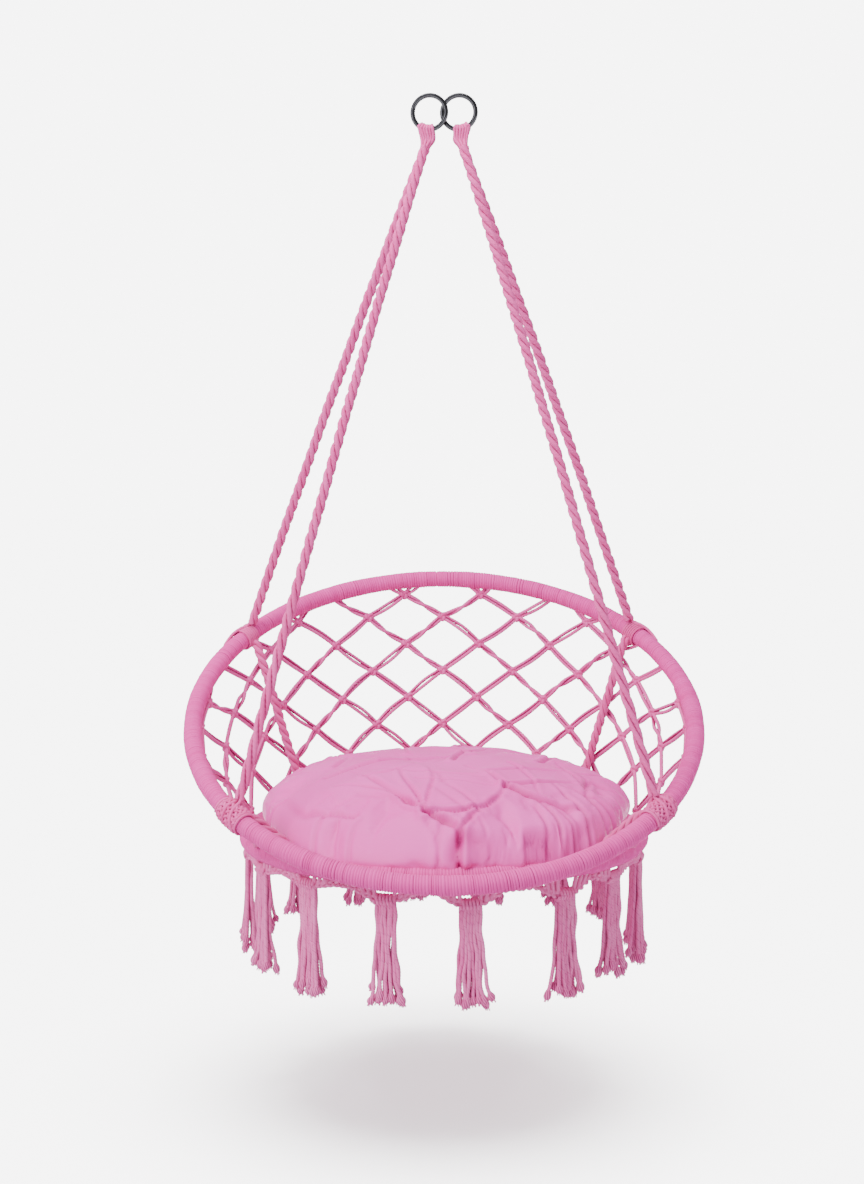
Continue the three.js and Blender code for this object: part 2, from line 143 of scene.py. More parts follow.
def level_axes(angle):
    """Outwards and along, at an angle round a level ring."""
    a = radians(angle)
    return np.array([cos(a), sin(a), 0]), np.array([-sin(a), cos(a), 0])


def hoop_axes(angle):
    """Along the hoop, outwards from it, and up from its plane."""
    a = radians(angle)
    c, s = cos(HOOP_TILT), sin(HOOP_TILT)
    along = np.array([-sin(a), cos(a) * c, cos(a) * s])
    outwards = np.array([cos(a), sin(a) * c, sin(a) * s])
    return along, outwards, np.array([0, -s, c])


def on_hoop(angle):
    return HOOP_MIDDLE + HOOP_RADIUS * hoop_axes(angle)[1]


def on_seat_ring(angle):
    return SEAT_MIDDLE + SEAT_RADIUS * level_axes(angle)[0]


def towards(start, end, distance):
    return start + unit(end - start) * distance


def out_from_axis(point):
    return unit(np.array([point[0] - SEAT_MIDDLE[0], point[1] - SEAT_MIDDLE[1], 0]))


def distance_along(path):
    steps = norm(np.diff(path, axis=0), axis=1)
    return np.concatenate([[0], np.cumsum(steps)])


# ---- tubes and meshes
def add_object(name, data):
    made = bpy.data.objects.new(name, data)
    scene.collection.objects.link(made)
    return made


def tube_quads(rings, sides, closed=False):
    """The faces between rings of points, a quad at a time round each ring."""
    i, j = np.meshgrid(np.arange(rings if closed else rings - 1), np.arange(sides), indexing="ij")
    i2, j2 = (i + 1) % rings, (j + 1) % sides
    corners = [i * sides + j, i * sides + j2, i2 * sides + j2, i2 * sides + j]
    return np.stack(corners, -1).reshape(-1, 4)


def directions_across(points, closed=False, guide=None):
    """Two directions across a path, at right angles, at each of its points."""
    if closed:
        ahead = np.roll(points, -1, 0) - np.roll(points, 1, 0)
    else:
        ahead = np.gradient(points, axis=0)
    tangent = unit(ahead)
    if guide is None:
        guide = min(np.eye(3), key=lambda axis: np.abs(tangent @ axis).max())
    across = unit(np.cross(tangent, guide))
    return across, np.cross(across, tangent)


class Soup:
    """Gathers tubes into one mesh. V of its UV map runs along the fibres, in metres, and U across."""

    def __init__(self):
        self.points, self.quads, self.uvs, self.caps = [], [], [], []
        self.relief, self.tone = [], []
        self.count = 0

    def add(self, points, quads, uvs, relief, tone, caps=()):
        self.points.append(points)
        self.quads.append(quads + self.count)
        self.uvs.append(uvs)
        self.relief.append(relief)
        self.tone.append(np.broadcast_to(tone, (len(points),)))
        self.caps.extend([cap + self.count for cap in caps])
        self.count += len(points)

    def tube(
        self, path, radius, sides=8, lobes=3, lay=0.014, depth=0.1, closed=False, guide=None, core=None
    ):
        """A cord along a path: its plies are ridges that wind round it once in every lay.

        The relief is 1 on a ridge and falls in a groove. On the side of a core it falls to 0. The cord
        material paints shade where the relief falls."""
        path = np.asarray(path, float)
        n = len(path)
        across, up = directions_across(path, closed, guide)
        along = distance_along(path)
        lay = max(lay, 9 * np.diff(along).max())  # no faster than the rings along the cord can show
        if closed:
            whole = along[-1] + norm(path[0] - path[-1])
            lay = whole / max(1, round(whole / lay))
        turn = tau * np.arange(sides) / sides
        ridge = np.abs(np.cos(turn * lobes / 2))
        angle = turn[None, :] + tau * (along[:, None] / lay + random.random())
        radii = np.broadcast_to(np.asarray(radius, float), (n,))
        reach = radii[:, None] * (1 - depth * (1 - ridge))[None, :]
        points = (
            path[:, None, :]
            + (reach * np.cos(angle))[..., None] * across[:, None, :]
            + (reach * np.sin(angle))[..., None] * up[:, None, :]
        )
        # Painted shade: the relief sets how dark the cord material paints each groove and, with a core,
        # each strand's side against it.
        relief = np.broadcast_to(1 - min(0.9, 3.5 * depth) * (1 - ridge), (n, sides))
        if core is not None:
            away = norm(points - core[:, None, :], axis=2)
            relief = relief * smooth_step((away / away.max() - 0.42) / 0.4)
        quads = tube_quads(n, sides, closed)
        i, j = np.divmod(np.arange(len(quads)), sides)
        girth = tau * float(np.max(radius)) / sides
        shift = random.random() * 3
        u, v = j * girth + shift, along[i] + shift
        v2 = v + along[1]
        uvs = np.stack([u, v, u + girth, v, u + girth, v2, u, v2], -1).reshape(-1, 2)
        caps = [] if closed else [np.arange(sides)[::-1], np.arange(sides) + (n - 1) * sides]
        self.add(points.reshape(-1, 3), quads, uvs, relief.ravel(), random.random(), caps)

    def piece(self, node, part, slot, replaced=None, body="chair"):
        """Makes the mesh object. It replaces its own node, unless a list says otherwise."""
        name = f"{node}_{part}"
        points = np.concatenate(self.points)
        quads = np.concatenate(self.quads)
        loops = np.concatenate([quads.ravel(), *self.caps])
        sizes = np.concatenate([np.full(len(quads), 4), [len(c) for c in self.caps]]).astype(np.int32)
        data = bpy.data.meshes.new(name)
        data.vertices.add(len(points))
        data.vertices.foreach_set("co", points.astype(np.float32).ravel())
        data.loops.add(len(loops))
        data.loops.foreach_set("vertex_index", loops.astype(np.int32))
        data.polygons.add(len(sizes))
        starts = np.concatenate([[0], np.cumsum(sizes)[:-1]]).astype(np.int32)
        data.polygons.foreach_set("loop_start", starts)
        data.update(calc_edges=True)
        data.shade_smooth()
        uvs = np.zeros((len(loops), 2), np.float32)
        side_uvs = np.concatenate(self.uvs)
        uvs[: len(side_uvs)] = side_uvs
        data.uv_layers.new(name="fibre").data.foreach_set("uv", uvs.ravel())
        # The relief tells the cord material where to paint shade; the tone gives each cord its own shade.
        for attribute, values in (("relief", self.relief), ("tone", self.tone)):
            layer = data.attributes.new(attribute, "FLOAT", "POINT")
            layer.data.foreach_set("value", np.concatenate(values).astype(np.float32))
        data.materials.append(LOOKS[slot])
        made = add_object(name, data)
        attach(made, body)
        replaced = [node] if replaced is None else replaced
        if replaced:
            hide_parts(*replaced)
        return made


def bezier(a, b, c, count):
    t = np.linspace(0, 1, count)[:, None]
    return (1 - t) ** 2 * a + 2 * t * (1 - t) * b + t**2 * c


def smooth_path(corners, count):
    """A Catmull-Rom curve through a few corners."""
    p = np.asarray(corners, float)
    p = np.concatenate([2 * p[:1] - p[1:2], p, 2 * p[-1:] - p[-2:-1]])
    spans = len(p) - 3
    at = np.linspace(0, spans, count)
    k = np.minimum(at.astype(int), spans - 1)
    t = (at - k)[:, None]
    a, b, c, d = p[k], p[k + 1], p[k + 2], p[k + 3]
    return 0.5 * (2 * b + (c - a) * t + (2 * a - 5 * b + 4 * c - d) * t**2 + (3 * b - a - 3 * c + d) * t**3)


def smooth_step(x):
    x = np.clip(x, 0, 1)
    return x * x * (3 - 2 * x)


# ---- materials
class Nodes:
    """A short way to build one node material."""

    def __init__(self, name):
        self.material = bpy.data.materials.new(name)
        self.material.use_nodes = True
        self.tree = self.material.node_tree
        self.shader = self.tree.nodes["Principled BSDF"]
        self.place = self.add("ShaderNodeTexCoord").outputs["Object"]

    def add(self, kind, inputs=(), **settings):
        node = self.tree.nodes.new(kind)
        for key, value in settings.items():
            setattr(node, key, value)
        for key, value in dict(inputs).items():
            self.put(node.inputs[key], value)
        return node

    def put(self, socket, value):
        if isinstance(value, bpy.types.NodeSocket):
            self.tree.links.new(value, socket)
        else:
            socket.default_value = value

    def attribute(self, name):
        return self.add("ShaderNodeAttribute", attribute_name=name).outputs["Fac"]

    def noise(self, vector, scale, detail=3.0, stretch=(1, 1, 1)):
        mapped = self.add("ShaderNodeMapping", {"Vector": vector, "Scale": stretch})
        return self.add(
            "ShaderNodeTexNoise", {"Vector": mapped.outputs[0], "Scale": scale, "Detail": detail}
        ).outputs["Fac"]

    def times(self, value, weight, base=0.0):
        """The value times a weight, on top of a base."""
        terms = {0: value, 1: weight, 2: base}
        return self.add("ShaderNodeMath", terms, operation="MULTIPLY_ADD").outputs[0]

    def ramp(self, value, low, high):
        """0 at low and beyond it, 1 at high and beyond it."""
        return self.add(
            "ShaderNodeMapRange", {"Value": value, "From Min": low, "From Max": high}
        ).outputs["Result"]

    def mix(self, share, a, b):
        return self.add("ShaderNodeMix", {0: share, 6: a, 7: b}, data_type="RGBA").outputs[2]

    def bump(self, height, strength, distance):
        inputs = {"Height": height, "Strength": strength, "Distance": distance}
        self.shade(Normal=self.add("ShaderNodeBump", inputs).outputs[0])

    def shade(self, **inputs):
        for key, value in inputs.items():
            self.put(self.shader.inputs[key.replace("_", " ")], value)


def cord_material(name, light, deep, shadow):
    """Soft spun cord: fine fibres along it, each cord of its own tone, and shade painted into its grooves.
    """
    n = Nodes(name)
    light, deep, shadow = ((*shade, 1) for shade in (light, deep, shadow))
    uv = n.add("ShaderNodeUVMap", uv_map="fibre").outputs[0]
    fibres = n.noise(uv, 1.0, 4.0, (2600, 160, 1))
    drift = n.noise(n.place, 22.0)
    specks = n.noise(n.place, 420.0, 2.0)
    tone = n.times(n.ramp(drift, 0.3, 0.7), 0.7, n.ramp(fibres, 0.36, 0.64))
    tone = n.times(n.ramp(specks, 0.3, 0.8), 0.35, tone)
    tone = n.times(n.attribute("tone"), 0.8, tone)
    colour = n.mix(n.ramp(tone, 0.4, 2.3), deep, light)
    # Painted shade: the colour darkens towards the shadow shade where the relief falls, in grooves and
    # against a rope's core.
    colour = n.mix(n.ramp(n.attribute("relief"), 0.62, 0.05), colour, shadow)
    n.shade(Base_Color=colour, Roughness=n.times(fibres, 0.2, 0.68))
    n.shade(Sheen_Weight=0.12, Sheen_Roughness=0.4, Sheen_Tint=(1.0, 0.5, 0.75, 1))
    n.shade(Specular_IOR_Level=0.12)
    n.bump(fibres, 0.6, 0.0005)
    return n.material


def cushion_material():
    """Sateen: a fine weave, soft blotches of dye, and painted shade deepening the colour down in the
    creases.
    """
    n = Nodes("cushion_sateen")
    thread = {"Vector": n.place, "Scale": 420.0, "Distortion": 0.6, "Detail": 1.0}
    warp, weft = (n.add("ShaderNodeTexWave", thread, bands_direction=way).outputs["Fac"] for way in "XY")
    weave = n.times(warp, weft)
    drift = n.noise(n.place, 7.0)
    slubs = n.noise(n.place, 1.0, 2.0, (25, 600, 300))
    light = n.mix(n.ramp(drift, 0.3, 0.7), (0.77, 0.065, 0.42, 1), (0.80, 0.085, 0.46, 1))
    light = n.mix(n.times(n.ramp(slubs, 0.55, 0.8), 0.25), light, (0.84, 0.13, 0.52, 1))
    light = n.mix(n.times(weave, 0.15), light, (0.62, 0.04, 0.32, 1))
    # Painted shade: the colour deepens towards dark pink where the crease attribute is high.
    colour = n.mix(n.ramp(n.attribute("crease"), 0.0, 1.0), light, (0.50, 0.02, 0.22, 1))
    n.shade(Base_Color=colour, Roughness=n.times(drift, 0.15, 0.45))
    n.shade(Specular_IOR_Level=0.3)
    n.bump(weave, 0.25, 0.0003)
    return n.material


def ring_material():
    """Blackened steel with a bright, lightly scratched polish."""
    n = Nodes("ring_gunmetal")
    scratches = n.noise(n.place, 1.0, 5.0, (2500, 250, 900))
    smudges = n.noise(n.place, 120.0)
    colour = n.mix(n.ramp(scratches, 0.35, 0.75), (0.006, 0.006, 0.008, 1), (0.035, 0.035, 0.04, 1))
    n.shade(Base_Color=colour, Metallic=1.0)
    n.shade(Roughness=n.times(smudges, 0.25, 0.10))
    n.shade(Coat_Weight=0.2, Coat_Roughness=0.15)
    n.bump(scratches, 0.12, 0.0002)
    return n.material


def tube_material():
    """Drawn steel tube, greyed by handling. The cord hides it."""
    n = Nodes("hoop_steel_drawn")
    grain = n.noise(n.place, 900.0, 4.0)
    colour = n.mix(n.ramp(grain, 0.3, 0.7), (0.42, 0.42, 0.43, 1), (0.58, 0.58, 0.59, 1))
    n.shade(Base_Color=colour, Metallic=1.0, Roughness=n.times(grain, 0.3, 0.3))
    return n.material


def floor_material():
    n = Nodes("floor_paper")
    n.shade(Base_Color=(*[FLOOR_ALBEDO] * 3, 1), Roughness=1.0, Specular_IOR_Level=0.0)
    return n.material


# The material of each slot. Cord has a light and a deep shade, and a painted shade for its grooves.
LOOKS = {
    "rope": cord_material("rope_cord", (0.80, 0.13, 0.42), (0.68, 0.06, 0.28), (0.34, 0.012, 0.1)),
    "wrap_cord": cord_material("wrap_cord", (0.77, 0.072, 0.39), (0.67, 0.045, 0.31), (0.24, 0.008, 0.07)),
    "net_cord": cord_material("net_cord", (0.82, 0.14, 0.44), (0.68, 0.07, 0.31), (0.30, 0.012, 0.09)),
    "fringe_cord": cord_material("fringe_cord", (0.9, 0.23, 0.54), (0.76, 0.11, 0.38), (0.26, 0.012, 0.09)),
    "cushion_fabric": cushion_material(),
    "ring_steel": ring_material(),
}


# ---- camera, light and floor
def camera():
    """In front of the chair and above the hoop, looking slightly down."""
    data = bpy.data.cameras.new("camera")
    data.lens = CAMERA_LENS
    made = add_object("camera", data)
    aside, back, rise = CAMERA_OFFSET
    made.location = (aside, HOOP_MIDDLE[1] + back, HOOP_MIDDLE[2] + rise)
    made.rotation_euler = (radians(90 - CAMERA_DIP), 0, 0)
    scene.camera = made


def add_light(name, kind, power, place, aim):
    data = bpy.data.lights.new(name, kind)
    data.energy = power
    made = add_object(name, data)
    made.location = place
    made.rotation_euler = (Vector(aim) - Vector(place)).to_track_quat("-Z", "Y").to_euler()
    return made


def studio():
    """A background brighter than the light that it gives, and a floor lit to match it."""
    world = bpy.data.worlds.new("studio")
    world.use_nodes = True
    tree = world.node_tree
    background = tree.nodes["Background"]
    background.inputs["Color"].default_value = (1, 0.995, 1, 1)
    seen = tree.nodes.new("ShaderNodeLightPath")
    level = tree.nodes.new("ShaderNodeMapRange")
    level.inputs["To Min"].default_value = AMBIENT
    level.inputs["To Max"].default_value = BACKDROP
    tree.links.new(seen.outputs["Is Camera Ray"], level.inputs["Value"])
    tree.links.new(level.outputs[0], background.inputs["Strength"])
    scene.world = world

    bpy.ops.mesh.primitive_plane_add(size=80, location=(0, 0, FLOOR))
    floor = bpy.context.object
    floor.name = "floor"
    floor.data.materials.append(floor_material())
    floor.visible_diffuse = False
    floor_only = bpy.data.collections.new("floor_only")
    all_but_floor = bpy.data.collections.new("all_but_floor")
    for collection in (floor_only, all_but_floor):
        collection.objects.link(floor)
    all_but_floor.collection_objects[0].light_linking.link_state = "EXCLUDE"

    for name, power, place, size in AREA_LIGHTS:
        light = add_light(name, "AREA", power, place, (0, 0, -1.0))
        light.data.size = size
        light.light_linking.receiver_collection = all_but_floor
    # Two suns light the floor alone, and the one without a shadow keeps the chair's shadow pale.
    needed = (BACKDROP - AMBIENT) * pi / FLOOR_ALBEDO
    for name, share, shadowed in (("floor_wash", 0.79, True), ("floor_fill", 0.21, False)):
        sun = add_light(name, "SUN", needed * share, (0, 0, 3), (0, 0, 0))
        sun.data.angle = radians(46)
        sun.data.use_shadow = shadowed
        sun.light_linking.receiver_collection = floor_only


# ---- suspension and support ropes
def ring_centre(side):
    return np.array([side * RING_SPACING / 2, 0, -RING_INNER])


def ring_point(side, angle):
    a = radians(angle)
    across = np.array([cos(RING_TURN), sin(RING_TURN), 0])
    return ring_centre(side) + RING_MEAN * (cos(a) * across + sin(a) * np.array([0, 0, 1]))


def loop_point(side):
    return ring_point(side, -90 + side * LOOP_ANGLE)


def loop_leg_end(side, front):
    depth = -1 if front else 1
    return loop_point(side) + np.array([side * LOOP_LEAN, depth * ROPE_SPREAD, -LOOP_LENGTH])


def suspension_path(side, front, count):
    """From the leg of a rope loop to just above the hoop, bowed a little outwards."""
    leg = loop_leg_end(side, front)
    hitch = on_hoop((FRONT_HITCH if front else REAR_HITCH)[side])
    start = towards(leg, hitch, GAP)
    end = towards(hitch, leg, HITCH_REACH)
    middle = (start + end) / 2 + np.array([side * ROPE_BOW, 0, 0])
    return bezier(start, middle, end, count)


def twisted_rope(name, path, strand_radius, offset, lay, loosen=0.0):
    """A rope of three strands. Where it loosens, towards its end, they lie flatter and turn less."""
    soup = Soup()
    across, up = directions_across(path)
    along = distance_along(path)
    slack = loosen * smooth_step((along / along[-1] - 0.45) / 0.5)
    wander = 0.5 * np.sin(along / 0.083 + random.random() * 6) + 0.35 * np.sin(along / 0.031)
    rate = tau / lay * (1 - 0.6 * slack)
    turn = np.concatenate([[0], np.cumsum(rate[1:] * np.diff(along))]) + 0.35 * wander
    for k in range(3):
        angle = turn + tau * k / 3
        swell = 1 + 0.08 * np.sin(along / 0.013 + k * 2 + random.random())
        wide = offset * swell * np.cos(angle)
        deep = offset * swell * (1 - 0.15 * slack) * np.sin(angle)
        strand = path + wide[:, None] * across + deep[:, None] * up
        # Painted shade: with the core given, the material darkens each strand's side that faces the rope's
        # middle.
        soup.tube(strand, strand_radius, sides=10, lay=0.02, core=path)
    return soup.piece(name, "twisted", "rope")


def declare_cord(path):
    """Works out a cord's length along its centreline, and does nothing more with it."""
    length = float(distance_along(path)[-1])


def suspension_ropes():
    for side in (-1, 1):
        for front in (True, False):
            path = suspension_path(side, front, 601)
            name = f"{'front' if front else 'rear'}_rope_{SIDE_NAMES[side]}"
            made = twisted_rope(name, path, STRAND, 0.0041, ROPE_LAY, 0.8 if front else 0.15)
            declare_cord(path)


def support_path(hoop_angle, seat_angle, count):
    """From the hoop's wrapping to the seat ring's, set in from the net."""
    top, bottom = on_hoop(hoop_angle), on_seat_ring(seat_angle)
    down = unit(bottom - top)
    inset = unit(np.cross(level_axes(seat_angle)[1], down)) * SUPPORT_INSET
    start = top + down * (HITCH_RADIUS + ROPE_RADIUS + SUPPORT_CLEARANCE) + inset
    end = bottom - down * (WRAP_RADIUS + ROPE_RADIUS) + inset
    upper, lower = towards(top, start, WRAP_RADIUS), towards(bottom, end, WRAP_RADIUS)
    return smooth_path([upper, start, start + (end - start) / 2, end, lower], count)


def support_ropes():
    """Ropes inside the net, which carry the seat ring, and the short front ties."""
    for side in (-1, 1):
        path = support_path(REAR_HITCH[side], REAR_FOOT[side], 201)
        made = twisted_rope(f"rear_support_{SIDE_NAMES[side]}", path, SUPPORT_STRAND, 0.0040, 0.05)
        declare_cord(path)
        path = support_path(FRONT_HITCH[side], FRONT_FOOT[side], 40)
        twisted_rope(f"front_tie_{SIDE_NAMES[side]}", path, SUPPORT_STRAND, 0.0040, 0.05)


def lashing(soup, at, axis, core, cord, turns):
    """Close turns of cord round a rod, given its middle, its axis and its radius."""
    axis = unit(np.asarray(axis, float))
    u = unit(np.cross(axis, np.eye(3)[np.argmin(np.abs(axis))]))
    v = np.cross(axis, u)
    a = np.linspace(0, tau * turns, int(turns * 36))
    climb = (a / tau - turns / 2) * cord * 2.02
    path = at + climb[:, None] * axis + (core + cord) * (np.cos(a)[:, None] * u + np.sin(a)[:, None] * v)
    soup.tube(path, cord, sides=7, lay=0.018, depth=0.08, guide=axis)


# ---- hanging rings and their rope loops
def hanging_rings():
    for side in (-1, 1):
        soup = Soup()
        path = np.array([ring_point(side, a) for a in np.arange(0, 360, 3)])
        soup.tube(path, RING_WIRE + RING_SWELL, sides=20, lobes=1, lay=1e9, depth=0.0, closed=True)
        soup.piece(f"hanging_ring_{SIDE_NAMES[side]}", "wire", "ring_steel", body="rings")


def rope_loops():
    """Six cords side by side over each ring's wire, closing up into the ropes below it."""
    normal = np.array([-sin(RING_TURN), cos(RING_TURN), 0])
    for side in (-1, 1):
        soup = Soup()
        for k in range(6):
            shift = (k - 2.5) * 0.0042
            wire = ring_point(side, -90 + side * LOOP_ANGLE + degrees(shift / RING_MEAN))
            inward = unit(ring_centre(side) - wire)
            over = RING_WIRE + LOOP_CORD + 0.0002 + 0.0004 * (k % 2)
            turns = np.linspace(-1.9, 1.9, 11)
            arc = [wire + over * (sin(a) * normal + cos(a) * inward) for a in turns]
            legs = []
            for front in (True, False):
                end = loop_leg_end(side, front)
                down = unit(suspension_path(side, front, 3)[1] - end)
                fan = np.array([1.0, 0, 0]) * shift
                depth = normal * 0.0016 * (1 if k % 2 else -1)
                legs.append([end - down * 0.014 + 0.85 * fan, end - down * 0.003 + 0.5 * fan + depth,
                             end + down * 0.012 + 0.3 * fan + depth])
            soup.tube(smooth_path(legs[0][::-1] + arc + legs[1], 130), LOOP_CORD, sides=9, lay=0.016)
        soup.piece(f"rope_loop_{SIDE_NAMES[side]}", "cords", "rope")


# ---- wound hoops and their hitches
def wound_hoop(name, ring, seam):
    """One long cord wound close round a hoop: each turn is a ridge, and some grooves are deeper.

    A thin seam shows where the winding ends."""
    middle, radius, tilt = ring
    turns = round(tau * radius / WRAP_PITCH)
    per_turn, sides = 5, 16
    profile = np.array([0.0, 0.72, 1.0, 1.0, 0.72])
    count = turns * per_turn
    i, j = np.meshgrid(np.arange(count), np.arange(sides), indexing="ij")
    around = tau * j / sides
    place = (i / per_turn - j / sides) / turns  # a share of the way round the hoop
    loose = random.random(turns)[i // per_turn]
    own = random.random(turns)[i // per_turn]
    crowd = 0.3 * np.sin(tau * place * 41) + 0.2 * np.sin(tau * place * 97 + 2)
    a = tau * (place + crowd / turns)
    ridge = profile[i % per_turn]
    groove = (1 - ridge) * (0.66 + 0.34 * smooth_step((loose - 0.70) / 0.2))
    swell = 0.00025 * np.sin(a * 9 + 1) + 0.0002 * np.sin(a * 23)
    level = WRAP_RADIUS - WRAP_GROOVE * groove + swell + 0.0004 * (own - 0.5)
    nearness = np.abs((np.degrees(a) - seam + 180) % 360 - 180) * radians(radius)
    level = level - 0.0016 * np.exp(-((nearness / 0.0015) ** 2))
    out = radius + level * np.cos(around)
    x, y, z = out * np.cos(a), out * np.sin(a), level * np.sin(around)
    c, s = cos(tilt), sin(tilt)
    points = np.stack([x, y * c - z * s, y * s + z * c], -1).reshape(-1, 3) + middle
    i2 = (i + 1) % count
    j2 = (j + 1) % sides
    back = np.where(j == sides - 1, per_turn, 0)
    near, far = (i - back) % count, (i2 - back) % count
    corners = [i * sides + j, i2 * sides + j, far * sides + j2, near * sides + j2]
    quads = np.stack(corners, -1).reshape(-1, 4)
    pitch, girth = WRAP_PITCH / per_turn, tau * WRAP_RADIUS / sides
    u, v = i * pitch, (i // per_turn) * 0.37 + j * girth
    uvs = np.stack([u, v, u + pitch, v, u + pitch, v + girth, u, v + girth], -1).reshape(-1, 2)
    soup = Soup()
    # Painted shade: the relief, one less the groove, makes the material paint the grooves darker, and the
    # deeper ones darker still.
    soup.add(points, quads, uvs, (1 - groove).ravel(), own.ravel())
    soup.piece(name, "winding", "wrap_cord", [f"{name}_wrap_{k}" for k in range(1, 5)])


def hoop_lashing(soup, angle, turns, cord):
    """Close turns that follow the hoop's curve."""
    pitch = degrees(2.02 * cord / HOOP_RADIUS)
    path = []
    for share in np.linspace(0, 1, int(turns * 48)):
        at = angle + (share - 0.5) * turns * pitch
        _, outwards, up = hoop_axes(at)
        turn = tau * turns * share
        path.append(on_hoop(at) + (WRAP_RADIUS + cord) * (cos(turn) * outwards + sin(turn) * up))
    soup.tube(path, cord, lay=0.02, guide=hoop_axes(angle)[0])


def braided_sleeve(soup, angle, length, cords, cord):
    """Cords that spiral both ways round the hoop, each passing over and under those it meets."""
    share = np.linspace(-0.5, 0.5, 48)
    twist = length / (WRAP_RADIUS + cord) * 0.85
    for way in (-1, 1):
        for k in range(cords):
            path = []
            for s in share:
                at = angle + degrees(s * length / HOOP_RADIUS)
                _, outwards, up = hoop_axes(at)
                turn = tau * k / cords + way * twist * s
                weave = way * 0.5 * cord * cos(cords * twist * s)
                plump = 0.0008 * cos(pi * s)
                reach = WRAP_RADIUS + cord * 0.95 + plump + weave
                path.append(on_hoop(at) + reach * (cos(turn) * outwards + sin(turn) * up))
            soup.tube(path, cord, lay=0.02, guide=hoop_axes(angle)[0])


def front_hitches():
    """The rope's cords part over the hoop and tuck into a braided band."""
    for side in (-1, 1):
        angle = FRONT_HITCH[side]
        soup = Soup()
        braided_sleeve(soup, angle, 0.042, 13, LASHING_CORD)
        for end in (-1, 1):
            hoop_lashing(soup, angle + end * 3.2, 1.6, LASHING_CORD)
        end = suspension_path(side, True, 400)[-1]
        along = hoop_axes(angle)[0]
        lift = unit(end - on_hoop(angle))
        across = unit(np.cross(along, lift))
        for lean, way in ((-1, -1), (-0.4, 1), (0.4, -1), (1, 1)):
            corners = [end + along * 0.0032 * lean + lift * 0.014]
            corners.append(end + along * 0.0045 * lean + way * 0.002 * across)
            for turn in (0.45, 1.1, 1.8, 2.5):
                swing = cos(turn) * lift + sin(turn) * way * across
                corners.append(on_hoop(angle) + along * (0.0045 + 0.0045 * turn) * lean + 0.0196 * swing)
            soup.tube(smooth_path(corners, 60), FRONT_HITCH_CORD, sides=9, lay=0.016)
        soup.piece(f"front_hitch_{SIDE_NAMES[side]}", "braid", "rope")


def rear_hitches():
    """The rope meets the hoop's outer edge and runs on along it under the lashing, past a small eye."""
    for side in (-1, 1):
        angle = REAR_HITCH[side]
        soup = Soup()
        hoop_lashing(soup, angle - side * 0.3, 6, LASHING_CORD)
        end = suspension_path(side, False, 400)[-1]
        lift = unit(end - on_hoop(angle))
        for k in range(4):
            corners = [end + lift * 0.014 + hoop_axes(angle)[0] * 0.0022 * (k - 1.5)]
            for step, reach in ((0.4, 0.0195), (1.8, 0.0196), (3.4, 0.0185), (4.8, 0.0165), (6.4, 0.0145)):
                _, o, u = hoop_axes(angle - side * step)
                outer = unit(lift * (1.1 - 0.16 * step) + o * (0.2 + 0.15 * step) + u * 0.17 * (k - 1.5))
                corners.append(on_hoop(angle - side * step) + reach * outer)
            soup.tube(smooth_path(corners, 60), REAR_HITCH_CORD, sides=9, lay=0.016)
        along, o, _ = hoop_axes(angle)
        centre = on_hoop(angle + side * 1.6) + 0.0195 * unit(lift + 0.25 * o)
        around = np.arange(0, 6.28, 0.2)[:, None]
        eye = centre + 0.0040 * (np.cos(around) * along + np.sin(around) * lift)
        soup.tube(eye, 0.0019, sides=7, lay=0.01, closed=True)
        soup.piece(f"rear_hitch_{SIDE_NAMES[side]}", "lashing", "rope")


# ---- net wall
def on_wall(angle, height):
    top, bottom = on_hoop(angle), on_seat_ring(angle)
    share = (top[2] - height) / (top[2] - bottom[2])
    return top + (bottom - top) * share


def distance_to(ring, point):
    middle, radius, tilt = ring
    x, y, z = point - middle
    c, s = cos(tilt), sin(tilt)
    y, z = y * c + z * s, z * c - y * s
    return hypot(hypot(x, y) - radius, z)


def cover_radius(angle):
    """The hoop's outer radius: its wrapping, or the hitch that is tied over it."""
    hitches = [*FRONT_HITCH.values(), *REAR_HITCH.values()]
    return HITCH_RADIUS if any(abs(h - angle % 360) < 8 for h in hitches) else WRAP_RADIUS


def column_angle(column):
    return 90 + 360 / COLUMN_COUNT * column


def knot_heights(column):
    """The levels and heights of a column's knots, highest first, all clear of the hoop."""
    angle = column_angle(column)
    room = KNOT_RADIUS + GAP
    knots = []
    level = KNOT_TOP + (0 if column % 2 == 0 else KNOT_PITCH / 2) + HOOP_MIDDLE[2]
    while level > SEAT_MIDDLE[2]:
        if level < on_hoop(angle)[2]:
            height = level
            while distance_to(HOOP, on_wall(angle, height)) < cover_radius(angle) + room:
                height -= 0.001
            clear = distance_to(SEAT_RING, on_wall(angle, height)) > WRAP_RADIUS + 3 * room
            if clear and height > SEAT_MIDDLE[2]:
                knots.append((level, height))
        level -= KNOT_PITCH
    return knots


def tied_knot(start, end, cover):
    distance = min(cover + KNOT_RADIUS + 2 * GAP, norm(end - start) / 2)
    return towards(start, end, distance)


def hoop_knot(angle):
    return tied_knot(on_hoop(angle), on_seat_ring(angle), cover_radius(angle))


def seat_knot(angle):
    return tied_knot(on_seat_ring(angle), on_hoop(angle), WRAP_RADIUS)


